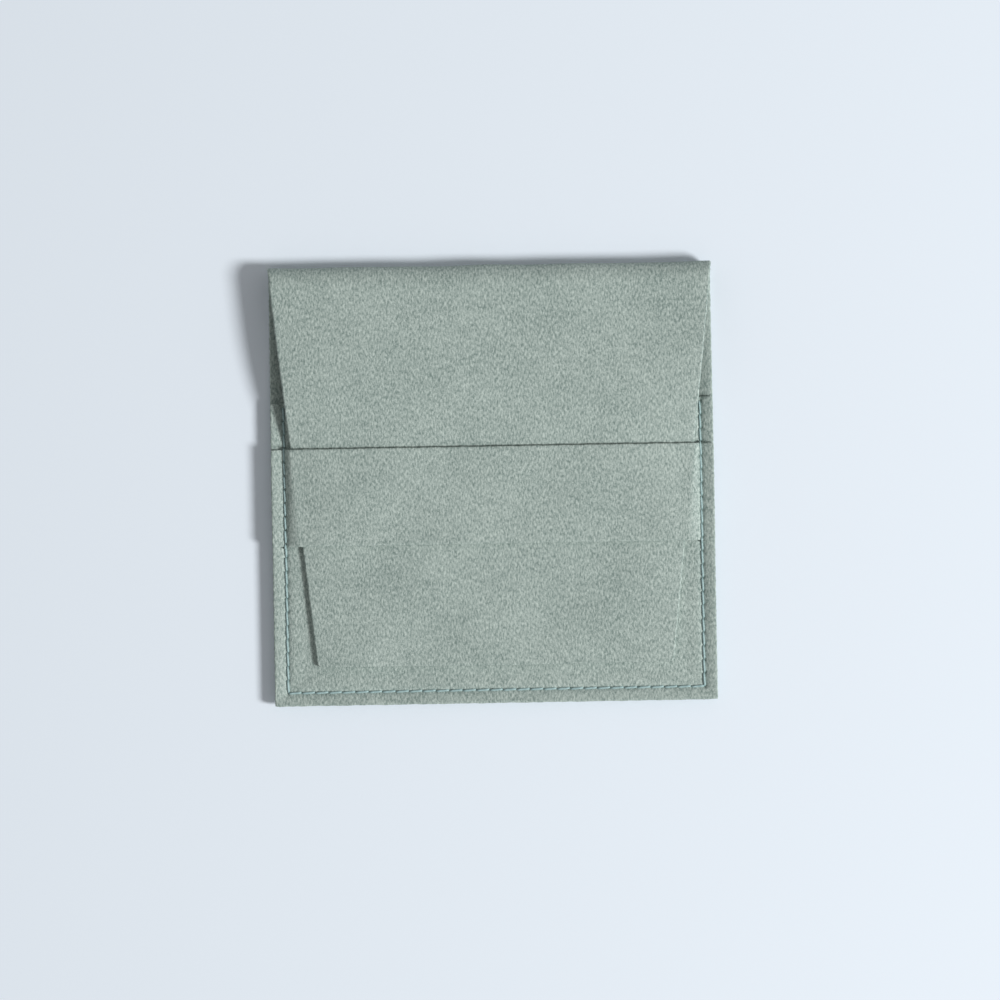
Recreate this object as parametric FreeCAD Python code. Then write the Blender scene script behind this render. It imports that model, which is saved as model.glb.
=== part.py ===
"""Soft square card holder, in millimetres.

One cut of suede microfibre makes the back and, folded over at the top, the flap. A shorter
panel is sewn to the back along both sides and the bottom and makes the pocket. A band crosses
the front, its ends caught in the side seams, and the flap's tongue slides under it.

Origin at the middle of the footprint on the table, X to the right, Y towards the fold, Z up.
"""
import FreeCAD, Part
import math
import os

from FreeCAD import Vector

# Overall size and cloth
width = 100.0
height = 99.0
thickness = 0.8

# Top fold and flap
fold_gap = 5.4              # clear height inside the fold
fold_reach = 5.0            # how far the bend runs beyond the flat panels
fold_axis_inset = 1.0       # the flap turns about a line this far inside the fold's crest
tongue_margin = 8.5         # from the tongue's tip to the bottom edge
tongue_corner_radius = 1.0
flap_side_clearance = 1.45  # from each seam to the flap, at the band's top edge

# Pocket
pocket_depth = 68.5
bottom_fullness = 1.2       # clear height in the pocket near its bottom seam
mouth_fullness = 2.6        # clear height in the pocket at its mouth
fullness_power = 4          # how late the pocket opens on the way up to its mouth
side_crown = 3.5            # the panel climbs from the side seams over about this length
bottom_crown = 2.2          # and from the bottom seam over about this length

# Band
band_width = 22.0
band_below_mouth = 10.5

# Seam
seam_inset = 3.0
seam_rise = 0.8             # the sewn edges lift off the table
side_rise_run = 4.0
bottom_rise_run = 3.5

# Thread
stitch_pitch = 3.07
first_stitch_inset = 1.0
thread_radius = 0.22
post_radius = 0.30
hole_clearance = 0.05
thread_lift = 0.15
knuckle_height = 0.06        # the thread stands this much prouder where it enters a hole
interlock_gap = 0.1

# Clearances between layers
ply_gap = 0.05              # between plies sewn together
slide_gap = 0.2             # between plies that slide on each other
split_gap = 0.1             # between the band's free span and its sewn ends
tongue_split = 0.5          # the tongue begins this far above the band

# Stations that divide each panel into flat facets
across_stations = 10
pocket_stations = 9
throat_stations = 8
tongue_stations = 7
band_stations = 4
corner_stations = 3

# Places worked out from the sizes
half_width = width / 2
fold_y = height / 2
bottom_y = -height / 2
bend_y = fold_y - fold_reach
mouth_y = bottom_y + pocket_depth
band_top_y = mouth_y - band_below_mouth
band_bottom_y = band_top_y - band_width
tip_y = bottom_y + tongue_margin
split_y = band_top_y + tongue_split
seam_x = half_width - seam_inset
seam_y = bottom_y + seam_inset
flat_x = seam_x - side_rise_run
flat_y = seam_y + bottom_rise_run
band_split_x = seam_x - flap_side_clearance + 2 * slide_gap
fold_top = 2 * thickness + fold_gap


def edge_rise(x, y):
    """Height of the back panel's underside: zero in the middle, lifted towards the seams."""
    fade = min(1.0, max(0.0, (bend_y - y) / (bend_y - mouth_y)))
    side = fade * (abs(x) - flat_x) * seam_rise / side_rise_run
    bottom = (flat_y - y) * seam_rise / bottom_rise_run
    return max(0.0, side, bottom)


def pocket_gap(x, y):
    """Clear height inside the pocket: none at the seams, most in the middle of the mouth."""
    inside_x = max(0.0, seam_x - abs(x))
    inside_y = max(0.0, y - seam_y)
    way_up = min(1.0, inside_y / (mouth_y - seam_y))
    fullness = bottom_fullness + (mouth_fullness - bottom_fullness) * way_up**fullness_power
    from_side = 1 - math.exp(-inside_x / side_crown)
    from_bottom = 1 - math.exp(-inside_y / bottom_crown)
    return fullness * from_side * from_bottom


def pocket_underside(x, y):
    return edge_rise(x, y) + thickness + ply_gap + pocket_gap(x, y)


def pocket_top(x, y):
    return pocket_underside(x, y) + thickness


def flap_underside(x, y):
    """The flap lies on the pocket as far as the band, then climbs in an easing curve to the fold."""
    if y <= band_top_y:
        return pocket_top(x, y) + slide_gap
    way_up = min(1.0, (y - band_top_y) / (bend_y - band_top_y))
    low = pocket_top(0, band_top_y) + slide_gap
    high = fold_top - thickness
    middle = low + (high - low) * (1 - (1 - way_up) ** 3)
    drop = pocket_top(0, band_top_y) - pocket_top(x, band_top_y)
    return middle - drop * (1 - way_up) ** 4


def flap_half_width(y):
    """Full width at the fold, tapering past the seams to the tongue's rounded tip."""
    taper = (seam_inset + flap_side_clearance) / (fold_y - band_top_y)
    corner = max(0.0, tongue_corner_radius - (y - tip_y))
    rounding = tongue_corner_radius - math.sqrt(tongue_corner_radius**2 - corner**2)
    return half_width - taper * (fold_y - y) - rounding


def band_underside(x, y):
    """Flat on the pocket at the seam, then up a ramp that clears the flap's edge."""
    ramp_run = seam_x - flap_half_width(y) - slide_gap
    ramp = min(1.0, max(0.0, seam_x - abs(x)) / ramp_run)
    over_flap = thickness + 2 * slide_gap
    return pocket_top(x, y) + ply_gap + (over_flap - ply_gap) * ramp


def spread(first, last, count, power=1.0):
    """Values from first to last, closer together near first where power is over 1."""
    return [first + (last - first) * (n / count) ** power for n in range(count + 1)]


def both_sides(distances):
    """Stations on both sides of the middle, from distances given outermost first."""
    return [-d for d in distances] + [d for d in reversed(distances) if d > 0]


def triangle(a, b, c):
    return Part.Face(Part.makePolygon([a, b, c, a]))


def facets(a, b, c, d):
    """Two triangles for one cell, split along whichever diagonal lies lower."""
    if a.z + c.z <= b.z + d.z:
        return [triangle(a, b, c), triangle(a, c, d)]
    return [triangle(a, b, d), triangle(b, c, d)]


def cloth_panel(rows, underside):
    """Closed panel of one cloth thickness over rows of (x, y) stations."""
    up = Vector(0, 0, thickness)
    low = [[Vector(x, y, underside(x, y)) for x, y in row] for row in rows]
    high = [[point + up for point in row] for row in low]
    faces = []
    for skin in (low, high):
        for near, far in zip(skin, skin[1:]):
            for n in range(len(near) - 1):
                faces += facets(near[n], near[n + 1], far[n + 1], far[n])
    right, left = [row[-1] for row in low], [row[0] for row in low]
    rim = low[0] + right[1:] + low[-1][-2::-1] + left[-2::-1]
    for a, b in zip(rim, rim[1:]):
        faces.append(Part.Face(Part.makePolygon([a, b, b + up, a + up, a])))
    solid = Part.Solid(Part.Shell(faces))
    if solid.Volume < 0:
        solid.reverse()
    return solid.removeSplitter()


def rectangular_rows(stations_x, stations_y):
    return [[(x, y) for x in stations_x] for y in stations_y]


def tapered_rows(stations_y):
    """Rows across the flap, with stations crowded towards its two edges."""
    shares = spread(1.0, 0.0, across_stations)
    rows = []
    for y in stations_y:
        w = flap_half_width(y)
        rows.append([(x, y) for x in both_sides([w * (1 - (1 - s) ** 2) for s in shares])])
    return rows


def back_panel():
    stations_x = both_sides([half_width, seam_x, flat_x])
    return cloth_panel(
        rectangular_rows(stations_x, [bottom_y, seam_y, flat_y, mouth_y, bend_y]), edge_rise
    )


def top_fold():
    """Half-elliptical bend from the back panel to the flap, its upper half tapering with it."""
    centre = Vector(0, bend_y, fold_top / 2)

    def half_ellipse(inset):
        ellipse = Part.Ellipse(centre, fold_reach - inset, fold_top / 2 - inset)
        ellipse.transform(tilt)
        return ellipse.toShape(-math.pi / 2, math.pi / 2)

    tilt = FreeCAD.Matrix()
    tilt.move(-centre)
    tilt.rotateX(math.pi / 2)
    tilt.rotateZ(math.pi / 2)
    tilt.move(centre)
    outer, inner = half_ellipse(0), half_ellipse(thickness)
    low = Part.makeLine(centre - Vector(0, 0, fold_top / 2), centre - Vector(0, 0, fold_gap / 2))
    high = Part.makeLine(centre + Vector(0, 0, fold_gap / 2), centre + Vector(0, 0, fold_top / 2))
    section = Part.Face(Part.Wire(Part.__sortEdges__([outer, high, inner, low])))
    section.translate(Vector(-half_width, 0, 0))
    bend = section.extrude(Vector(width, 0, 0))
    for side in (-1, 1):
        corners = [
            (side * half_width, fold_y),
            (side * flap_half_width(bend_y), bend_y),
            (side * half_width, bend_y),
        ]
        points = [Vector(x, y, fold_top / 2) for x, y in corners + corners[:1]]
        wedge = Part.Face(Part.makePolygon(points)).extrude(Vector(0, 0, fold_top))
        bend = bend.cut(wedge)
    return bend


def flap_upper():
    return cloth_panel(tapered_rows(spread(bend_y, split_y, throat_stations)), flap_underside)


def flap_tongue():
    turns = [math.pi / 2 * n / corner_stations for n in range(corner_stations + 1)]
    corner = [tip_y + tongue_corner_radius * (1 - math.cos(turn)) for turn in turns]
    straight = spread(corner[-1], band_top_y, tongue_stations)
    return cloth_panel(tapered_rows(corner + straight[1:] + [split_y]), flap_underside)


def pocket_panel():
    inner = [seam_x - d for d in spread(0, seam_x, across_stations, 2)]
    stations_x = both_sides([half_width] + inner)
    stations_y = [bottom_y] + spread(seam_y, mouth_y, pocket_stations, 2)
    return cloth_panel(rectangular_rows(stations_x, stations_y), pocket_underside)


def retaining_band():
    """Free span of the band, between its sewn ends."""
    rows = []
    for y in spread(band_bottom_y, band_top_y, band_stations):
        shoulder = flap_half_width(y) + slide_gap
        over_flap = [shoulder - d for d in spread(0, shoulder, across_stations, 2)]
        stations_x = both_sides([band_split_x - split_gap] + over_flap)
        rows.append([(x, y) for x in stations_x])
    return cloth_panel(rows, band_underside)


def band_end(side):
    """Sewn end of the band, from the pouch's edge to just inside the seam."""
    stations_x = sorted(side * x for x in (band_split_x, seam_x, half_width))
    stations_y = spread(band_bottom_y, band_top_y, band_stations)
    return cloth_panel(rectangular_rows(stations_x, stations_y), band_underside)


def stitch_places():
    """Needle holes of the one seam: down the left side, along the bottom, up the right side."""
    start_y = mouth_y - first_stitch_inset
    side_count = round((start_y - seam_y) / stitch_pitch)
    bottom_count = round(2 * seam_x / stitch_pitch)
    left = [(-seam_x, y) for y in spread(start_y, seam_y, side_count)]
    bottom = [(x, seam_y) for x in spread(-seam_x, seam_x, bottom_count)]
    right = [(seam_x, y) for _, y in reversed(left)]
    return left + bottom[1:-1] + right


def on_band(y):
    reach = post_radius + hole_clearance
    return band_bottom_y - reach < y < band_top_y + reach


def front_level(x, y):
    """Top of the sewn stack at a needle hole: the band's end where it is caught, or the pocket."""
    inside = min(max(y, band_bottom_y), band_top_y)
    return band_underside(x, inside) + thickness if on_band(y) else pocket_top(x, y)


def thread_points(places, level, side):
    """Middle of the thread over each hole, with a knee where it steps off the band's edge."""
    offset = side * (thread_radius + thread_lift)
    points = [Vector(x, y, level(x, y) + offset) for x, y in places]
    path = [points[0]]
    for a, b in zip(points, points[1:]):
        if side > 0 and on_band(a.y) != on_band(b.y):
            high, low = (a, b) if on_band(a.y) else (b, a)
            away = math.copysign(1, low.y - high.y)
            edge_y = band_top_y if away > 0 else band_bottom_y
            knee_y = edge_y + away * (thread_radius + hole_clearance)
            if away * (knee_y - high.y) > post_radius:
                path.append(Vector(a.x, knee_y, high.z))
        path.append(b)
    return points, path


def thread(places, level, side):
    """One thread of the lockstitch: bars on its face of the seam and posts down to mid-depth."""
    points, path = thread_points(places, level, side)
    parts = []
    for a, b in zip(path, path[1:]):
        parts.append(Part.makeCylinder(thread_radius, (b - a).Length, a, b - a))
    knees = [p for p in path if p not in points]
    parts += [Part.makeSphere(thread_radius, knee) for knee in knees]
    for x, y in places:
        middle = (front_level(x, y) + edge_rise(x, y)) / 2 + side * interlock_gap / 2
        end = level(x, y) + side * (2 * thread_radius + thread_lift + knuckle_height)
        low, high = sorted((middle, end))
        parts.append(Part.makeCylinder(post_radius, high - low, Vector(x, y, low)))
    return parts[0].multiFuse(parts[1:])


def needle_holes(places):
    radius = post_radius + hole_clearance
    depth = 2 * fold_top
    return Part.makeCompound(
        [Part.makeCylinder(radius, depth, Vector(x, y, -fold_top / 2)) for x, y in places]
    )


def build():
    places = stitch_places()
    holes = needle_holes(places)
    return {
        "back_panel": back_panel().cut(holes),
        "top_fold": top_fold(),
        "flap_upper": flap_upper(),
        "flap_tongue": flap_tongue(),
        "pocket_panel": pocket_panel().cut(holes),
        "retaining_band": retaining_band(),
        "band_end_left": band_end(-1).cut(holes),
        "band_end_right": band_end(1).cut(holes),
        "needle_thread": thread(places, front_level, 1),
        "bobbin_thread": thread(places, edge_rise, -1),
    }


os.makedirs("parts", exist_ok=True)
for name, shape in build().items():
    shape.exportStep(f"parts/{name}.step")
    print(name, len(shape.Solids), "solid", round(shape.Volume, 2), "mm3", shape.isValid())
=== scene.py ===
"""Finish of a soft square card holder in sage suede microfibre, sewn with pale teal thread.

Shapes are worked out in millimetres on numpy grids and put into the meshes in metres. One unit
of the cloth's map is MAP_UNIT millimetres, so the nap has the same scale on every sheet.
"""
import logging
import math
from dataclasses import dataclass
from enum import Enum

import bpy
import numpy as np
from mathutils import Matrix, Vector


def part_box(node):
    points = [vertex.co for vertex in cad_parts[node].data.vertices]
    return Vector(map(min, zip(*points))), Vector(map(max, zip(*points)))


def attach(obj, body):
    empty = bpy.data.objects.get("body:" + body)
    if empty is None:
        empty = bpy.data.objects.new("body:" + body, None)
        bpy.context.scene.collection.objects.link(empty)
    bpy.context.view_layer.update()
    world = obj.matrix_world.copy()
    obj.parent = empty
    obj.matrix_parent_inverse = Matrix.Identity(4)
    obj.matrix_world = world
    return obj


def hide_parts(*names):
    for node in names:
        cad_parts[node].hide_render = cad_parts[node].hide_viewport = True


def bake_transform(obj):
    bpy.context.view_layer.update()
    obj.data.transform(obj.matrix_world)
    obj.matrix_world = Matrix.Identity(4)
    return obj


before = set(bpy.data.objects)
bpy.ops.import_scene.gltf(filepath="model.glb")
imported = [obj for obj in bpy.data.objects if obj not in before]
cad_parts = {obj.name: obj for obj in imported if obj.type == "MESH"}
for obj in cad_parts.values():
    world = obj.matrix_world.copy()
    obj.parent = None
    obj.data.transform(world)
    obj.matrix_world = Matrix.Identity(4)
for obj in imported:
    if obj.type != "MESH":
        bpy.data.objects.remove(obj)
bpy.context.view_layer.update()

# Metres in a millimetre, and millimetres in one unit of the cloth's map.
MM = 0.001
MAP_UNIT = 10.0
MAP_NAME = "cloth"
# Radius of a cut edge, and a distance out of the seam's reach, in millimetres.
CUT_EDGE = 0.3
FAR = 9.0
SHARP_DEGREES = 60.0
STATION_SAMPLES = 4000
log = logging.getLogger("card_holder")

Colour = tuple[float, float, float]
Sides = tuple[bool, bool, bool, bool]
ALL_CUT: Sides = (True, True, True, True)
JOINED_AT_FOLD: Sides = (True, True, False, True)
JOINED_BOTH_ENDS: Sides = (False, True, False, True)


class Body(Enum):
    """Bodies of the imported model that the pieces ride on."""

    POUCH = "pouch"
    FLAP = "flap"
    BAND = "band"


class SeamSide(Enum):
    """Which thread of the lockstitch shows: the needle's on the front or the bobbin's behind."""

    FRONT = 1
    BACK = -1


def node_box(node: str) -> tuple[np.ndarray, np.ndarray]:
    """Lowest and highest corner of a CAD node, in millimetres."""
    low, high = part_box(node)
    return np.array(low) / MM, np.array(high) / MM


@dataclass(frozen=True)
class Ripple:
    """Slow unevenness of soft cloth: three crossed sine waves, 17 to 46 mm long.

    Each run is how far a wave goes in one radian, across and up, in millimetres.
    """

    long_run: tuple[float, float] = (7.3, 6.1)
    slant_run: tuple[float, float] = (3.9, 5.2)
    short_run: tuple[float, float] = (2.7, 3.1)
    shares: tuple[float, float, float] = (0.5, 0.3, 0.2)
    phases: tuple[float, float, float] = (0.6, 1.1, 2.0)

    def height(self, x: np.ndarray, y: np.ndarray) -> np.ndarray:
        """Adds up the three waves.

        Args:
            x: places across.
            y: places up.

        Returns:
            The height at each place, between -1 and 1.
        """
        across, up, slant = self.phases
        long_wave = np.sin(x / self.long_run[0] + across) * np.cos(y / self.long_run[1] + up)
        slant_wave = np.sin(x / self.slant_run[0] - y / self.slant_run[1] + slant)
        short_wave = np.cos(x / self.short_run[0] + y / self.short_run[1])
        return self.shares[0] * long_wave + self.shares[1] * slant_wave + self.shares[2] * short_wave


@dataclass(frozen=True)
class RestingShape:
    """Heights of the cloth layers at rest over the footprint, in millimetres."""

    half_width: float
    bottom_y: float
    fold_y: float
    bend_y: float
    mouth_y: float
    band_top_y: float
    band_bottom_y: float
    tip_y: float
    fold_top: float
    thickness: float = 0.8
    seam_inset: float = 3.0
    flap_side_clearance: float = 1.45
    seam_rise: float = 0.8
    side_rise_run: float = 4.0
    bottom_rise_run: float = 3.5
    rise_softness: float = 0.03
    rise_settle: float = 0.012
    bottom_fullness: float = 1.2
    mouth_fullness: float = 2.6
    fullness_power: int = 4
    side_crown: float = 3.5
    bottom_crown: float = 2.2
    ply_gap: float = 0.05
    slide_gap: float = 0.2
    flap_climb_power: int = 3
    flap_level_power: int = 4
    flap_wave: float = 0.35
    flap_wave_run: float = 15.0
    flap_wave_phase: float = 0.7
    band_ramp_power: float = 1.6
    groove_depth: float = 0.24
    groove_width: float = 0.6
    dimple_depth: float = 0.3
    dimple_radius: float = 0.42
    back_pull: float = 0.8
    stitch_pitch: float = 3.07
    first_stitch: float = 1.0
    ripple: Ripple = Ripple()
    ripple_height: float = 0.16

    @staticmethod
    def from_frame() -> "RestingShape":
        """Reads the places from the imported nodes' boxes.

        Returns:
            The shape, with every other measure at its default.
        """
        back, pocket = node_box("back_panel"), node_box("pocket_panel")
        band, tongue, fold = (node_box(n) for n in ("retaining_band", "flap_tongue", "top_fold"))
        return RestingShape(
            half_width=back[1][0], bottom_y=back[0][1], fold_y=fold[1][1], bend_y=back[1][1],
            mouth_y=pocket[1][1], band_top_y=band[1][1], band_bottom_y=band[0][1],
            tip_y=tongue[0][1], fold_top=fold[1][2],
        )

    @property
    def seam_x(self) -> float:
        """Distance of each side seam from the middle."""
        return self.half_width - self.seam_inset

    @property
    def seam_y(self) -> float:
        """Place of the bottom seam."""
        return self.bottom_y + self.seam_inset

    def edge_rise(self, x: np.ndarray, y: np.ndarray) -> np.ndarray:
        """Underside of the back: flat in the middle, lifted in a soft bend towards the seams.

        Args:
            x: places across.
            y: places up.

        Returns:
            The height at each place.
        """
        fade = np.clip((self.bend_y - y) / (self.bend_y - self.mouth_y), 0, 1)
        side = (np.abs(x) - self.seam_x + self.side_rise_run) * self.seam_rise / self.side_rise_run
        bottom = (self.seam_y + self.bottom_rise_run - y) * self.seam_rise / self.bottom_rise_run
        rise = np.maximum(side * fade, bottom)
        return 0.5 * (rise + np.sqrt(rise**2 + self.rise_softness)) - self.rise_settle

    def pocket_gap(self, x: np.ndarray, y: np.ndarray) -> np.ndarray:
        """Clear height in the pocket: an exponential rise from each seam, fuller at the mouth.

        Args:
            x: places across.
            y: places up.

        Returns:
            The clear height at each place.
        """
        inside_x = np.maximum(0, self.seam_x - np.abs(x))
        inside_y = np.maximum(0, y - self.seam_y)
        way_up = np.clip(inside_y / (self.mouth_y - self.seam_y), 0, 1)
        swell = (self.mouth_fullness - self.bottom_fullness) * way_up**self.fullness_power
        full = self.bottom_fullness + swell
        rise = (1 - np.exp(-inside_x / self.side_crown)) * (1 - np.exp(-inside_y / self.bottom_crown))
        return (full + self.ripple_height * self.ripple.height(x, y)) * rise

    def pocket_low(self, x: np.ndarray, y: np.ndarray) -> np.ndarray:
        """Underside of the pocket panel: the back's underside and thickness, a ply gap and the room."""
        return self.edge_rise(x, y) + self.thickness + self.ply_gap + self.pocket_gap(x, y)

    def flap_low(self, x: np.ndarray, y: np.ndarray) -> np.ndarray:
        """Underside of the flap: on the pocket up to the band, then eased up to the fold.

        Formula: above the band's top edge the height climbs as one minus a power of the way left,
        the pocket's own unevenness fades with another, and a sine wave across is taken off, most
        a little past half way up.

        Args:
            x: places across.
            y: places up.

        Returns:
            The height at each place.
        """
        way_up = np.clip((y - self.band_top_y) / (self.bend_y - self.band_top_y), 0, 1)
        top = np.full_like(x, self.band_top_y)
        start = self.pocket_low(x, np.minimum(y, top)) + self.thickness + self.slide_gap
        middle = self.pocket_low(np.zeros_like(x), top) + self.thickness + self.slide_gap
        high = self.fold_top - self.thickness
        climb = middle + (high - middle) * (1 - (1 - way_up) ** self.flap_climb_power)
        wave = self.flap_wave * np.sin(x / self.flap_wave_run + self.flap_wave_phase)
        wave = wave * np.sin(math.pi * way_up) ** 2 * way_up
        return climb - (middle - start) * (1 - way_up) ** self.flap_level_power - wave

    def flap_half_width(self, y: np.ndarray | float) -> np.ndarray | float:
        """Half width of the flap: full at the fold, tapering in a straight line past the seams."""
        taper = (self.seam_inset + self.flap_side_clearance) / (self.fold_y - self.band_top_y)
        return self.half_width - taper * (self.fold_y - y)

    def band_low(self, x: np.ndarray, y: np.ndarray) -> np.ndarray:
        """Underside of the band: on the pocket at the seam, then a rounded ramp over the flap.

        Args:
            x: places across.
            y: places up.

        Returns:
            The height at each place.
        """
        run = self.seam_x - self.flap_half_width(y) - self.slide_gap
        share = np.clip((self.seam_x - np.abs(x)) / run, 0, 1)
        ramp = 1 - (1 - share) ** self.band_ramp_power
        lift = (self.thickness + 2 * self.slide_gap - self.ply_gap) * ramp
        return self.pocket_low(x, y) + self.thickness + self.ply_gap + lift

    def stitch_places(self) -> np.ndarray:
        """Needle holes down the left side, along the bottom and up the right side.

        Returns:
            One row a hole: its place across and up.
        """
        start = self.mouth_y - self.first_stitch
        down = round((start - self.seam_y) / self.stitch_pitch) + 1
        side = np.linspace(start, self.seam_y, down)
        along = np.linspace(-self.seam_x, self.seam_x, round(2 * self.seam_x / self.stitch_pitch) + 1)
        left = np.stack([np.full_like(side, -self.seam_x), side], 1)
        bottom = np.stack([along, np.full_like(along, self.seam_y)], 1)
        right = np.stack([np.full_like(side, self.seam_x), side], 1)[::-1]
        return np.concatenate([left, bottom[1:-1], right])

    def pull_in(self, x: np.ndarray, y: np.ndarray) -> np.ndarray:
        """How far the seam pulls the face in: a Gaussian groove with a dimple at each hole.

        Args:
            x: places across.
            y: places up.

        Returns:
            The depth at each place.
        """
        side = np.where(y < self.mouth_y, np.abs(np.abs(x) - self.seam_x), FAR)
        side = np.where(y < self.seam_y, np.hypot(side, y - self.seam_y), side)
        bottom = np.where(np.abs(x) < self.seam_x, np.abs(y - self.seam_y), FAR)
        groove = self.groove_depth * np.exp(-((np.minimum(side, bottom) / self.groove_width) ** 2))
        near = np.full(x.shape, FAR)
        for hole_x, hole_y in self.stitch_places():
            near = np.minimum(near, np.hypot(x - hole_x, y - hole_y))
        return groove + self.dimple_depth * np.exp(-((near / self.dimple_radius) ** 2))


def stations(first: float, last: float, coarse: float, spots: tuple[float, ...] = (),
             fine: float = 0.16, reach: float = 1.0) -> np.ndarray:
    """Grid lines from first to last, closer together near the given spots.

    Formula: the density of lines is one over the spacing plus a Gaussian at each spot, and the
    lines stand where its running sum passes whole numbers, stretched a little to end at last.

    Args:
        first: the first line.
        last: the last line.
        coarse: spacing away from the spots.
        spots: places to crowd the lines at.
        fine: spacing at the spots.
        reach: width of the crowding.

    Returns:
        The stations in order.
    """
    s = np.linspace(first, last, STATION_SAMPLES)
    density = np.full_like(s, 1 / coarse)
    for spot in spots:
        density += (1 / fine - 1 / coarse) * np.exp(-(((s - spot) / reach) ** 2))
    total = np.concatenate([[0], np.cumsum((density[1:] + density[:-1]) / 2 * abs(s[1] - s[0]))])
    return np.interp(np.linspace(0, total[-1], int(total[-1]) + 2), total, s)


class NodePainter:
    """Fills one material: noise fields on the piece's map, mixes, ramps and shader values."""

    def __init__(self, name: str) -> None:
        """Starts a material with its shader.

        Args:
            name: the material's name.
        """
        self.material = bpy.data.materials.new(name)
        self.material.use_nodes = True
        self.nodes = self.material.node_tree.nodes
        self.links = self.material.node_tree.links
        self.shader = self.nodes["Principled BSDF"]

    def cloth_map(self) -> bpy.types.NodeSocket:
        """Adds the piece's own map.

        Returns:
            The socket of its coordinates.
        """
        coords = self.nodes.new("ShaderNodeUVMap")
        coords.uv_map = MAP_NAME
        return coords.outputs[0]

    def noise(self, coords: bpy.types.NodeSocket, scale: float, detail: float,
              stretch: tuple[float, float] = (1.0, 1.0), turn: float = 0.0,
              roughness: float = 0.5) -> bpy.types.NodeSocket:
        """Adds a noise field.

        Args:
            coords: socket of the coordinates.
            scale: cells in one unit of the map.
            detail: octaves of finer noise.
            stretch: scale across and up before the noise, less than 1 to draw it out.
            turn: turn of the streaks, in radians.
            roughness: share of each finer octave.

        Returns:
            The socket of the field.
        """
        mapping = self.nodes.new("ShaderNodeMapping")
        mapping.inputs["Scale"].default_value = (*stretch, 1)
        mapping.inputs["Rotation"].default_value = (0, 0, turn)
        field = self.nodes.new("ShaderNodeTexNoise")
        field.inputs["Scale"].default_value = scale
        field.inputs["Detail"].default_value = detail
        field.inputs["Roughness"].default_value = roughness
        self.links.new(coords, mapping.inputs["Vector"])
        self.links.new(mapping.outputs[0], field.inputs["Vector"])
        return field.outputs["Fac"]

    def mix(self, first: bpy.types.NodeSocket, second: bpy.types.NodeSocket,
            share: bpy.types.NodeSocket | float) -> bpy.types.NodeSocket:
        """Mixes two fields.

        Args:
            first: socket of the first field.
            second: socket of the second field.
            share: share of the second, as a number or as a field.

        Returns:
            The socket of the mix.
        """
        mix = self.nodes.new("ShaderNodeMix")
        self.links.new(first, mix.inputs["A"])
        self.links.new(second, mix.inputs["B"])
        if isinstance(share, float):
            mix.inputs["Factor"].default_value = share
        else:
            self.links.new(share, mix.inputs["Factor"])
        return mix.outputs["Result"]

    def ramp(self, tone: bpy.types.NodeSocket, low: tuple[float, Colour], high: tuple[float, Colour],
             between: tuple[tuple[float, Colour], ...] = ()) -> None:
        """Turns a field into the base colour.

        Args:
            tone: socket of the field.
            low: place and colour of the lower end.
            high: place and colour of the upper end.
            between: places and colours of further stops.
        """
        ramp = self.nodes.new("ShaderNodeValToRGB")
        stops = ramp.color_ramp.elements
        for stop, (place, colour) in zip(stops, (low, high)):
            stop.position = place
            stop.color = (*colour, 1)
        for place, colour in between:
            stops.new(place).color = (*colour, 1)
        self.links.new(tone, ramp.inputs[0])
        self.links.new(ramp.outputs[0], self.shader.inputs["Base Color"])

    def bump(self, height: bpy.types.NodeSocket, strength: float, distance: float) -> None:
        """Turns a field into a relief.

        Args:
            height: socket of the field.
            strength: strength of the relief.
            distance: its height, in metres.
        """
        bump = self.nodes.new("ShaderNodeBump")
        bump.inputs["Strength"].default_value = strength
        bump.inputs["Distance"].default_value = distance
        self.links.new(height, bump.inputs["Height"])
        self.links.new(bump.outputs[0], self.shader.inputs["Normal"])

    def finish(self, values: dict[str, object]) -> bpy.types.Material:
        """Sets the shader's own sockets.

        Args:
            values: a value for each socket's name.

        Returns:
            The finished material.
        """
        for socket, value in values.items():
            self.shader.inputs[socket].default_value = value
        return self.material


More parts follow.
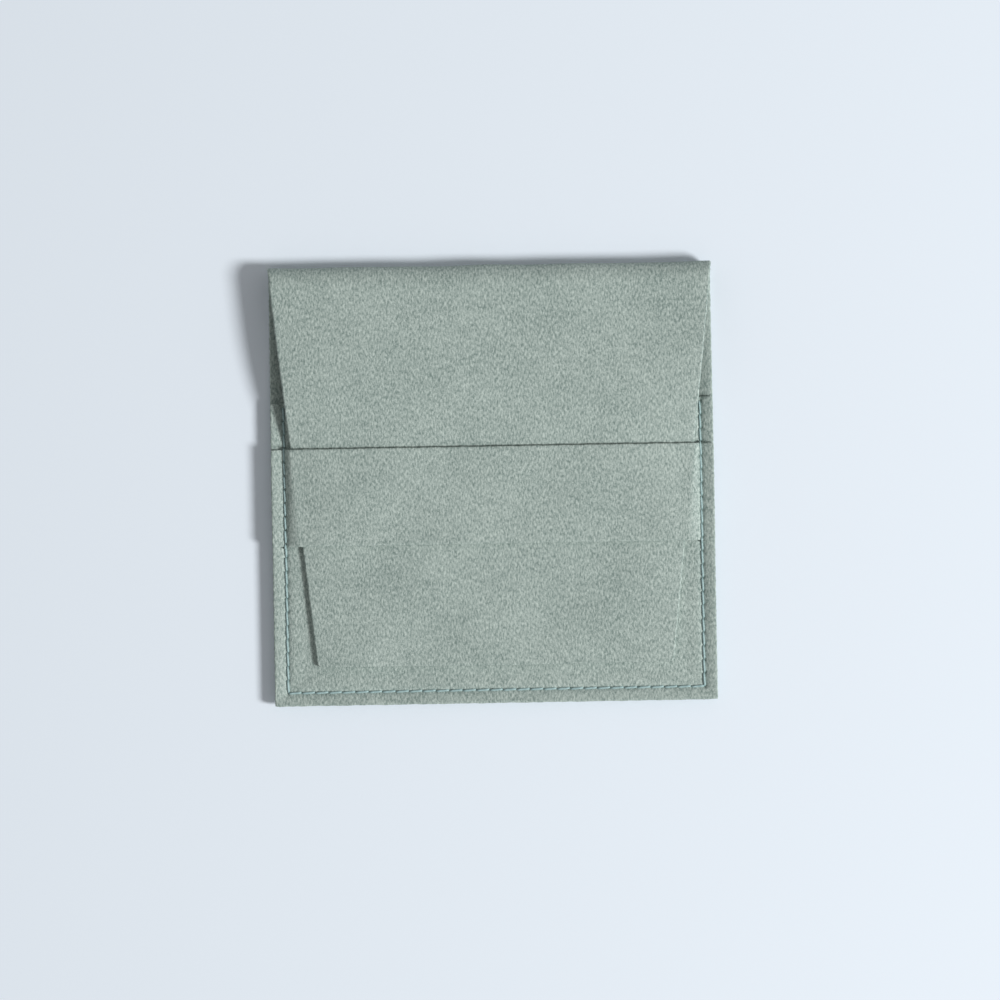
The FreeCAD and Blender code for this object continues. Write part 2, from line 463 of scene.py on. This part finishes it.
@dataclass(frozen=True)
class SuedeFinish:
    """Sage suede microfibre: short brushed nap with fine mottling."""

    name: str = "suede"
    deep: Colour = (0.185, 0.245, 0.225)
    middle: Colour = (0.345, 0.415, 0.385)
    light: Colour = (0.52, 0.60, 0.555)
    deep_below: float = 0.42
    middle_at: float = 0.5
    light_above: float = 0.58
    nap_mm: float = 0.42
    mottle_mm: float = 2.6
    patch_mm: float = 17.0
    fibre_size: float = 0.45
    streak: tuple[float, float] = (1.0, 0.5)
    brushed: tuple[float, float] = (0.75, -0.7)
    grain: float = 0.6
    nap_detail: float = 3.0
    swap_detail: float = 1.0
    fibre_detail: float = 2.0
    mottle_detail: float = 3.0
    patch_detail: float = 2.0
    fibre_share: float = 0.3
    patch_share: float = 0.45
    cloud_share: float = 0.15
    bump_strength: float = 0.9
    bump_mm: float = 0.16
    roughness: float = 0.95
    specular: float = 0.15
    sheen: float = 0.12
    sheen_roughness: float = 0.5
    sheen_tint: Colour = (0.8, 0.9, 0.86)

    def material(self) -> bpy.types.Material:
        """Builds the material: streaks brushed two ways for the nap, mottles and wide patches.

        Returns:
            The material.
        """
        paint = NodePainter(self.name)
        coords = paint.cloth_map()

        def field(size: float, detail: float, stretch: tuple[float, float] = (1.0, 1.0),
                  turn: float = 0.0) -> bpy.types.NodeSocket:
            """Adds a noise field by the size of its cells in millimetres."""
            return paint.noise(coords, MAP_UNIT / size, detail, stretch, turn, self.grain)

        left, right = (field(self.nap_mm, self.nap_detail, self.streak, turn) for turn in self.brushed)
        nap = paint.mix(left, right, field(self.mottle_mm, self.swap_detail))
        fibre = field(self.nap_mm * self.fibre_size, self.fibre_detail)
        nap = paint.mix(nap, fibre, self.fibre_share)
        mottle = field(self.mottle_mm, self.mottle_detail)
        cloudy = paint.mix(mottle, field(self.patch_mm, self.patch_detail), self.patch_share)
        tone = paint.mix(nap, cloudy, self.cloud_share)
        paint.ramp(tone, (self.deep_below, self.deep), (self.light_above, self.light),
                   ((self.middle_at, self.middle),))
        paint.bump(nap, self.bump_strength, self.bump_mm * MM)
        return paint.finish({
            "Roughness": self.roughness,
            "Specular IOR Level": self.specular,
            "Sheen Weight": self.sheen,
            "Sheen Roughness": self.sheen_roughness,
            "Sheen Tint": (*self.sheen_tint, 1),
        })


@dataclass(frozen=True)
class ThreadFinish:
    """Twisted polyester sewing thread, pale teal with a soft shine."""

    name: str = "thread"
    dark: Colour = (0.17, 0.28, 0.285)
    light: Colour = (0.47, 0.63, 0.63)
    dark_below: float = 0.3
    light_above: float = 0.68
    streak: tuple[float, float] = (3.0, 14.0)
    streak_scale: float = 3.0
    streak_detail: float = 3.0
    roughness: float = 0.42
    specular: float = 0.5
    sheen: float = 0.2

    def material(self) -> bpy.types.Material:
        """Builds the material: fibres streaked along the thread by its own map.

        Returns:
            The material.
        """
        paint = NodePainter(self.name)
        fibres = paint.noise(paint.cloth_map(), self.streak_scale, self.streak_detail, self.streak)
        paint.ramp(fibres, (self.dark_below, self.dark), (self.light_above, self.light))
        return paint.finish({
            "Roughness": self.roughness,
            "Specular IOR Level": self.specular,
            "Sheen Weight": self.sheen,
        })


@dataclass(frozen=True)
class FloorFinish:
    """Matt pale floor of one plain colour."""

    name: str = "pale_floor"
    colour: Colour = (0.79, 0.855, 0.925)
    roughness: float = 0.9
    specular: float = 0.1

    def material(self) -> bpy.types.Material:
        """Builds the material from the shader's values alone."""
        return NodePainter(self.name).finish({
            "Base Color": (*self.colour, 1),
            "Roughness": self.roughness,
            "Specular IOR Level": self.specular,
        })


def layer(x: np.ndarray, y: np.ndarray, z: np.ndarray) -> np.ndarray:
    """Stacks three equal grids into one grid of points."""
    return np.stack([x, y, z], -1)


def mesh_object(name: str, points: np.ndarray, quads: np.ndarray, uv: np.ndarray,
                flat: np.ndarray, mat: bpy.types.Material) -> bpy.types.Object:
    """Puts arrays into a new mesh object.

    Args:
        name: the piece's name.
        points: vertices in millimetres.
        quads: vertex indices, four a face.
        uv: map coordinate of each vertex.
        flat: True for each face that is shaded flat.
        mat: its material.

    Returns:
        The object, at the origin.
    """
    mesh = bpy.data.meshes.new(name)
    mesh.from_pydata((points * MM).tolist(), [], quads.tolist())
    corners = mesh.uv_layers.new(name=MAP_NAME)
    corners.data.foreach_set("uv", uv[quads.ravel()].astype(np.float32).ravel())
    mesh.polygons.foreach_set("use_smooth", ~flat)
    mesh.materials.append(mat)
    mesh.update()
    mesh.set_sharp_from_angle(angle=math.radians(SHARP_DEGREES))
    piece = bpy.data.objects.new(name, mesh)
    bpy.context.scene.collection.objects.link(piece)
    return piece


@dataclass
class ClothSheet:
    """A closed sheet between two surfaces, with rounded cut edges and flat joined edges.

    free says which edges are cut: first row, last column, last row, first column. nibble and
    nibble_turns make the cut edge a little uneven along the rim.
    """

    name: str
    outer: np.ndarray
    inner: np.ndarray
    uv: np.ndarray
    free: Sides = ALL_CUT
    edge_radius: float = CUT_EDGE
    rim_steps: int = 5
    rim_map_step: float = 0.05
    nibble: tuple[float, float] = (0.22, 0.12)
    nibble_turns: tuple[float, float, float] = (0.9, 0.37, 2.1)
    cut_above: float = 0.5

    def outward(self) -> tuple[np.ndarray, np.ndarray]:
        """Finds the directions out of the sheet along its cut edges.

        Returns:
            A grid of directions in space and one on the map, both zero away from cut edges; at
            a corner the directions of its two edges add up.
        """
        middle = (self.outer + self.inner) / 2
        away, drift = np.zeros_like(middle), np.zeros(self.uv.shape)
        sides = (
            (np.s_[0, :], np.s_[1, :]),
            (np.s_[:, -1], np.s_[:, -2]),
            (np.s_[-1, :], np.s_[-2, :]),
            (np.s_[:, 0], np.s_[:, 1]),
        )
        for free, (edge, inside) in zip(self.free, sides):
            if not free:
                continue
            for grid, total in ((middle, away), (self.uv, drift)):
                step = grid[edge] - grid[inside]
                total[edge] += step / np.linalg.norm(step, axis=-1, keepdims=True)
        return away, drift

    def rim(self, loop: np.ndarray) -> tuple[np.ndarray, np.ndarray, np.ndarray]:
        """Lays rings of a half circle round the rim.

        Formula: each rim point is the middle of the sheet, plus its half thickness times the
        sine of its turn, plus the outward direction times the edge radius times the cosine.

        Args:
            loop: indices of the grid points round the rim, in order.

        Returns:
            The rings' points, their map coordinates, and which places of the rim aren't cut.
        """
        middle, half = (self.outer + self.inner) / 2, (self.outer - self.inner) / 2
        outward, drift = self.outward()
        centre, rise = middle.reshape(-1, 3)[loop], half.reshape(-1, 3)[loop]
        away, slide = outward.reshape(-1, 3)[loop], drift.reshape(-1, 2)[loop]
        away /= np.maximum(1.0, np.linalg.norm(away, axis=1, keepdims=True))
        walk = np.arange(len(loop))
        slow, beat, fast = self.nibble_turns
        uneven = 1 + self.nibble[0] * np.sin(walk * slow) * np.sin(walk * beat + 1)
        uneven = uneven + self.nibble[1] * np.sin(walk * fast)
        turns = np.linspace(np.pi / 2, -np.pi / 2, self.rim_steps + 1)[1:-1, None, None]
        reach = (self.edge_radius * uneven)[:, None]
        rings = centre + rise * np.sin(turns) + away * reach * np.cos(turns)
        depth = np.arange(1, self.rim_steps)[:, None, None] * self.edge_radius * self.rim_map_step
        uv_rings = self.uv.reshape(-1, 2)[loop] + slide * depth
        return rings, uv_rings, np.linalg.norm(away, axis=1) < self.cut_above

    def build(self, mat: bpy.types.Material) -> bpy.types.Object:
        """Builds the mesh: two grids and the rings round the rim.

        Args:
            mat: its material.

        Returns:
            The piece.
        """
        rows, cols = self.outer.shape[:2]
        count = rows * cols
        index = np.arange(count).reshape(rows, cols)
        loop = np.concatenate([index[0], index[1:, -1], index[-1, -2::-1], index[-2:0:-1, 0]])
        rings, uv_rings, bare = self.rim(loop)
        points = np.concatenate([g.reshape(-1, 3) for g in (self.outer, self.inner, rings)])
        uv = np.concatenate([g.reshape(-1, 2) for g in (self.uv, self.uv, uv_rings)])
        a, b, c, d = index[:-1, :-1], index[:-1, 1:], index[1:, 1:], index[1:, :-1]
        top = np.stack([a, b, c, d], -1).reshape(-1, 4)
        under = np.stack([a, d, c, b], -1).reshape(-1, 4) + count
        new = 2 * count + np.arange((self.rim_steps - 1) * len(loop)).reshape(self.rim_steps - 1, -1)
        ladder = np.concatenate([loop[None], new, loop[None] + count])
        after = np.roll(ladder, -1, axis=1)
        rim = np.stack([ladder[:-1], ladder[1:], after[1:], after[:-1]], -1)
        joined = np.tile(bare | np.roll(bare, -1), (self.rim_steps, 1))
        quads = np.concatenate([top, under, rim.reshape(-1, 4)])
        flat = np.concatenate([np.zeros(len(top) * 2, bool), joined.ravel()])
        return mesh_object(self.name, points, quads, uv, flat, mat)


@dataclass
class SuedePart:
    """A part of the pouch that is cut from suede."""

    shape: RestingShape
    suede: bpy.types.Material
    edge: float = CUT_EDGE

    def cut(self, name: str, outer: np.ndarray, inner: np.ndarray, places: np.ndarray,
            free: Sides = ALL_CUT) -> bpy.types.Object:
        """Builds one sheet from its two faces and its places on the flat cut, in millimetres."""
        return ClothSheet(name, outer, inner, places / MAP_UNIT, free, self.edge).build(self.suede)


@dataclass
class Envelope(SuedePart):
    """The one cut of suede: the back panel, the top fold and the flap.

    fold_rows and flap_columns are counts of grid lines. The other rows and columns are spacings
    in millimetres, but fold_column's is in half widths.
    """

    back_column: float = 0.95
    back_row: float = 0.36
    back_fade: float = 4.0
    fold_rows: int = 57
    fold_column: float = 0.008
    fold_bow: float = 0.22
    fold_bow_turns: float = 3.0
    fold_slack: float = 0.12
    flap_columns: int = 141
    flap_crowding: float = 0.93
    flap_row: float = 0.42
    flap_tip_row: float = 0.12
    tip_corner: float = 1.2

    def fold_length(self) -> float:
        """Length of the half ellipse along the middle of the cloth, by its mean radius."""
        reach = self.shape.fold_y - self.shape.bend_y
        return math.pi * (reach + self.shape.fold_top / 2 - self.shape.thickness) / 2

    def back(self) -> bpy.types.Object:
        """Back panel: lies on the table, its edges lifted and its underside pulled in by the seam.

        Formula: two heights over a grid, edge_rise and the same plus the thickness, both faded to
        level at the fold; the lower one also has back_pull of the seam's pull.

        Returns:
            The piece.
        """
        s = self.shape
        side = s.half_width - self.edge
        x_line = stations(-side, side, self.back_column, (-s.seam_x, s.seam_x))
        y_line = stations(s.bottom_y + self.edge, s.bend_y, self.back_row, (s.seam_y,))
        x, y = np.meshgrid(x_line, y_line)
        fade = np.clip((s.bend_y - y) / self.back_fade, 0, 1)
        low = (s.edge_rise(x, y) + s.back_pull * s.pull_in(x, y)) * fade
        high = s.edge_rise(x, y) * fade + s.thickness
        return self.cut("back_suede", layer(x, y, high), layer(x, y, low), np.stack([x, y], -1),
                        JOINED_AT_FOLD)

    def fold(self) -> bpy.types.Object:
        """Top fold: points round a half ellipse, outside and inside, as wide as the two panels.

        Formula: depth goes with the cosine of the turn and height with its sine, the inner face
        by radii one thickness less, and the depth wanders with the ripple.

        Returns:
            The piece.
        """
        s, t = self.shape, self.shape.thickness
        around = np.linspace(-np.pi / 2, np.pi / 2, self.fold_rows)
        turn, share = np.meshgrid(around, stations(-1, 1, self.fold_column), indexing="ij")
        narrow = np.clip(np.sin(turn), 0, 1) ** 2
        width = s.half_width - self.edge - narrow * (s.half_width - s.flap_half_width(s.bend_y))
        x, reach, rise = share * width, s.fold_y - s.bend_y, s.fold_top / 2
        wander = self.fold_bow * s.ripple.height(x, turn * self.fold_bow_turns)
        bow = wander * np.cos(turn) ** 2 - self.fold_slack
        outer = layer(x, s.bend_y + (reach + bow) * np.cos(turn), rise + rise * np.sin(turn))
        inner = layer(x, s.bend_y + (reach + bow - t) * np.cos(turn), rise + (rise - t) * np.sin(turn))
        along = s.bend_y + (turn / np.pi + 0.5) * self.fold_length()
        return self.cut("top_fold_suede", outer, inner, np.stack([x, along], -1), JOINED_BOTH_ENDS)

    def flap(self) -> bpy.types.Object:
        """Flap and tongue: tapering rows from the rounded tip up to the fold.

        Formula: each row is as wide as flap_half_width less the quarter circle of a tip corner,
        its columns crowd at the sides by a sine, and its height is flap_low.

        Returns:
            The piece.
        """
        s = self.shape
        corner = self.tip_corner - self.edge
        tip = s.tip_y + self.edge
        y_line = stations(tip, s.bend_y, self.flap_row, (tip,), self.flap_tip_row)
        across = np.sin(np.linspace(-1, 1, self.flap_columns) * np.pi / 2 * self.flap_crowding)
        share, y = np.meshgrid(across / np.sin(np.pi / 2 * self.flap_crowding), y_line)
        into = np.clip(corner - (y - s.tip_y - self.edge), 0, corner)
        rounding = corner - np.sqrt(corner**2 - into**2)
        x = share * (s.flap_half_width(y) - self.edge - rounding)
        low = s.flap_low(x, y)
        places = np.stack([x, s.bend_y + self.fold_length() + (s.bend_y - y)], -1)
        return self.cut("flap_suede", layer(x, y, low + s.thickness), layer(x, y, low), places,
                        JOINED_AT_FOLD)

    def build(self) -> list[bpy.types.Object]:
        """Returns:
            The back, the fold and the flap.
        """
        s = self.shape
        back, fold, flap = self.back(), self.fold(), self.flap()
        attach(back, Body.POUCH.value)
        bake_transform(fold)
        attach(flap, Body.FLAP.value)
        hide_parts("back_panel")
        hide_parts("top_fold")
        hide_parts("flap_upper", "flap_tongue")
        flap_width = float(s.flap_half_width(s.bend_y) + s.flap_half_width(s.tip_y))
        return [back, fold, flap]


@dataclass
class Pocket(SuedePart):
    """The pocket panel, sewn on three sides and open at its mouth."""

    column: float = 0.9
    row: float = 0.28
    map_shift: tuple[float, float] = (31.0, 17.0)

    def build(self) -> list[bpy.types.Object]:
        """Builds the panel from its heights.

        Formula: the lower face is pocket_low over a grid, the upper the same plus the thickness
        less the seam's pull.

        Returns:
            The one piece.
        """
        s = self.shape
        side = s.half_width - self.edge
        x_line = stations(-side, side, self.column, (-s.seam_x, s.seam_x))
        y_line = stations(s.bottom_y + self.edge, s.mouth_y - self.edge, self.row, (s.seam_y,))
        x, y = np.meshgrid(x_line, y_line)
        low = s.pocket_low(x, y)
        high = low + s.thickness - s.pull_in(x, y)
        places = np.stack([x + self.map_shift[0], y + self.map_shift[1]], -1)
        piece = self.cut("pocket_suede", layer(x, y, high), layer(x, y, low), places)
        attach(piece, Body.POUCH.value)
        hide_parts("pocket_panel")
        return [piece]


@dataclass
class Band(SuedePart):
    """The retaining band, in two halves that bend from the seams to its free middle."""

    column: float = 0.6
    seam_column: float = 0.14
    seam_reach: float = 1.4
    row: float = 0.3
    pulled_from: float = 2.0
    held_to: float = 1.0
    free_from: float = 8.0
    map_shift: tuple[float, float] = (57.0, 83.0)

    def half(self, side: int) -> bpy.types.Object:
        """Builds one half, from its trimmed end over the seam to the middle of the front.

        Formula: the lower face is band_low over a grid, the upper the same plus the thickness
        less the seam's pull near the seam.

        Args:
            side: 1 for the right half, -1 for the left.

        Returns:
            The piece.
        """
        s = self.shape
        ends = sorted((0.0, side * (s.half_width - self.edge)))
        x_line = stations(ends[0], ends[1], self.column, (side * s.seam_x,), self.seam_column,
                          self.seam_reach)
        y_line = stations(s.band_bottom_y + self.edge, s.band_top_y - self.edge, self.row)
        x, y = np.meshgrid(x_line, y_line)
        low = s.band_low(x, y)
        high = low + s.thickness - s.pull_in(x, y) * (np.abs(x) > s.seam_x - self.pulled_from)
        places = np.stack([x + self.map_shift[0], y + self.map_shift[1]], -1)
        name = "band_suede_right" if side > 0 else "band_suede_left"
        piece = self.cut(name, layer(x, y, high), layer(x, y, low), places,
                         (True, side > 0, True, side < 0))
        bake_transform(piece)
        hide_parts("retaining_band", "band_end_right" if side > 0 else "band_end_left")
        return piece

    def build(self) -> list[bpy.types.Object]:
        """Builds the left half and the right half."""
        return [self.half(-1), self.half(1)]


@dataclass
class SeamThread:
    """One thread of the lockstitch: a row of twisted stitches that dive into the needle holes.

    reach is the share of the way between two holes that a stitch spans, proud how far its centre
    line stands out in radii, and neck how much thinner it is at its ends.
    """

    shape: RestingShape
    thread: bpy.types.Material
    side: SeamSide
    radius: float = 0.25
    ply_depth: float = 0.14
    plies: int = 3
    twists: float = 1.6
    reach: float = 0.97
    dive: float = 0.75
    dive_power: int = 8
    proud: float = 0.75
    neck: float = 0.25
    neck_power: int = 6
    slant: float = 0.1
    band_margin: float = 0.3
    seam_margin: float = 1.0
    map_length: float = 0.3
    steps: int = 15
    around: int = 12

    def level(self, x: np.ndarray, y: np.ndarray) -> np.ndarray:
        """Face of the seam: the band's end or the pocket in front, the back panel behind.

        Args:
            x: places across.
            y: places up.

        Returns:
            The height at each place.
        """
        s = self.shape
        if self.side is SeamSide.BACK:
            return s.edge_rise(x, y) + s.back_pull * s.groove_depth
        near_band = (y < s.band_top_y + self.band_margin) & (y > s.band_bottom_y - self.band_margin)
        on_band = near_band & (np.abs(x) > s.seam_x - self.seam_margin)
        inside = np.clip(y, s.band_bottom_y, s.band_top_y)
        front = np.where(on_band, s.band_low(x, inside), s.pocket_low(x, y))
        return front + s.thickness - s.groove_depth

    def surface(self) -> tuple[np.ndarray, np.ndarray]:
        """Works out the stitches as tubes with a three-ply profile.

        Formula: the centre runs from hole to hole and dives at both ends with a high power of
        its way from the middle, and the radius ripples with the ply angle as it twists.

        Returns:
            Points by stitch, step and place round the tube, and their map coordinates.
        """
        holes = self.shape.stitch_places()
        start, end = holes[:-1, None], holes[1:, None]
        way = np.linspace(-1, 1, self.steps)[None, :, None]
        run = (end - start) / np.linalg.norm(end - start, axis=-1, keepdims=True)
        across = np.stack([-run[..., 1], run[..., 0]], -1)
        plan = (start + end) / 2 + (end - start) / 2 * way * self.reach + across * self.slant * way
        way = way[..., 0]
        dip = self.dive * np.abs(way) ** self.dive_power
        out = self.side.value * (self.radius * self.proud - dip)
        height = self.level(plan[..., 0], plan[..., 1]) + out
        centre = np.concatenate([plan, height[..., None]], -1)
        along = np.gradient(centre, axis=1)
        along /= np.linalg.norm(along, axis=-1, keepdims=True)
        sideways = np.concatenate([across, np.zeros_like(across[..., :1])], -1) * np.ones_like(centre)
        upward = np.cross(along, sideways)
        upward /= np.linalg.norm(upward, axis=-1, keepdims=True)
        angle = np.linspace(0, 2 * np.pi, self.around, endpoint=False)
        twist = np.pi * self.twists * way[..., None]
        radius = self.radius * (1 + self.ply_depth * np.cos(self.plies * (angle - twist)))
        radius = radius * (1 - self.neck * np.abs(way) ** self.neck_power)[..., None]
        cosine, sine = np.cos(angle)[:, None], np.sin(angle)[:, None]
        ring = sideways[..., None, :] * cosine + upward[..., None, :] * sine
        points = centre[..., None, :] + radius[..., None] * ring
        stitch = np.arange(len(start))[:, None]
        flow = (way + 1) / 2 * self.map_length + stitch * self.map_length
        uv = np.stack([np.broadcast_to(flow[..., None], points.shape[:3]),
                       np.broadcast_to(angle / (2 * np.pi), points.shape[:3])], -1)
        return points, uv

    def faces(self, count: int) -> np.ndarray:
        """Joins the points of each stitch into a tube with closed ends.

        Args:
            count: number of stitches.

        Returns:
            Vertex indices, four a face.
        """
        index = np.arange(count * self.steps * self.around).reshape(count, self.steps, self.around)
        after = np.roll(index, -1, axis=2)
        tube = np.stack([index[:, :-1], after[:, :-1], after[:, 1:], index[:, 1:]], -1).reshape(-1, 4)
        caps = []
        for step, flip in ((0, True), (-1, False)):
            row = index[:, step]
            fan = np.concatenate([row[:, [0, n, n + 1, n + 2]] for n in range(1, self.around - 2, 2)])
            caps.append(fan[:, ::-1] if flip else fan)
        return np.concatenate([tube] + caps)

    def build(self) -> list[bpy.types.Object]:
        """Builds all stitches of this thread as one piece.

        Returns:
            The one piece.
        """
        points, uv = self.surface()
        quads = self.faces(len(points))
        front = self.side is SeamSide.FRONT
        piece = mesh_object("needle_stitches" if front else "bobbin_stitches", points.reshape(-1, 3),
                            quads, uv.reshape(-1, 2), np.zeros(len(quads), bool), self.thread)
        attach(piece, Body.POUCH.value)
        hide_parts("needle_thread" if front else "bobbin_thread")
        return [piece]


@dataclass
class Studio:
    """Pale floor, one soft key light from the lower right, even fill and the camera above."""

    frame_width: float = 226.5
    lens: float = 135.0
    sensor: float = 36.0
    roll_degrees: float = 1.0
    centre_x: float = 1.57
    centre_y: float = -3.68
    floor_reach: float = 3000.0
    floor_drop: float = 0.02
    key_distance: float = 2400.0
    key_size: float = 640.0
    key_share: float = 0.63
    fill_share: float = 0.33
    key_way: tuple[float, float, float] = (1.25, -0.43, 1.0)

    def floor(self) -> bpy.types.Object:
        """Lays a wide floor just under the part.

        Returns:
            The floor.
        """
        reach = self.floor_reach
        x, y = np.meshgrid([-reach, reach], [-reach, reach])
        points = layer(x, y, np.full_like(x, -self.floor_drop)).reshape(-1, 3)
        quads = np.array([[0, 1, 3, 2]])
        piece = mesh_object("floor", points, quads, points[:, :2] / MAP_UNIT, np.array([True]),
                            FloorFinish().material())
        return piece

    def lights(self) -> None:
        """Sets a key lamp and an even world.

        Formula: the lamp's power is the one at which a level surface gets key_share of the light
        that makes white just white, from the inverse square of its distance and its slant.
        """
        way = np.array(self.key_way) / np.linalg.norm(self.key_way)
        lamp = bpy.data.lights.new("key", "AREA")
        lamp.shape = "DISK"
        lamp.size = self.key_size * MM
        distance = self.key_distance * MM
        lamp.energy = self.key_share * math.pi * math.pi * distance**2 / way[2]
        key = bpy.data.objects.new("key", lamp)
        key.location = tuple(way * distance)
        key.rotation_mode = "QUATERNION"
        key.rotation_quaternion = key.location.to_track_quat("Z", "Y")
        bpy.context.scene.collection.objects.link(key)
        world = bpy.data.worlds.new("fill")
        world.use_nodes = True
        background = world.node_tree.nodes["Background"]
        background.inputs["Color"].default_value = (1, 1, 1, 1)
        background.inputs["Strength"].default_value = self.fill_share
        bpy.context.scene.world = world

    def camera(self) -> None:
        """Sets the camera to look straight down, turned a little clockwise against the part."""
        data = bpy.data.cameras.new("camera")
        data.lens, data.sensor_width = self.lens, self.sensor
        camera = bpy.data.objects.new("camera", data)
        height = self.lens * self.frame_width / self.sensor
        camera.location = (self.centre_x * MM, self.centre_y * MM, height * MM)
        camera.rotation_euler = (0, 0, math.radians(-self.roll_degrees))
        bpy.context.scene.collection.objects.link(camera)
        bpy.context.scene.camera = camera

    def build(self) -> None:
        """Sets the whole stage."""
        bpy.context.scene.view_settings.view_transform = "Standard"
        self.floor()
        self.lights()
        self.camera()


def main() -> None:
    """Builds the stage, then the card holder from the back to the front."""
    logging.basicConfig(level=logging.INFO)
    shape = RestingShape.from_frame()
    suede, thread = SuedeFinish().material(), ThreadFinish().material()
    Studio().build()
    made = [
        (Envelope(shape, suede), "suede"),
        (Pocket(shape, suede), "suede"),
        (Band(shape, suede), "suede"),
        (SeamThread(shape, thread, SeamSide.FRONT), "thread"),
        (SeamThread(shape, thread, SeamSide.BACK), "thread"),
    ]
    for assembly, slot in made:
        for piece in assembly.build():
            log.info("%s: %d faces", piece.name, len(piece.data.polygons))


if __name__ == "__main__":
    main()
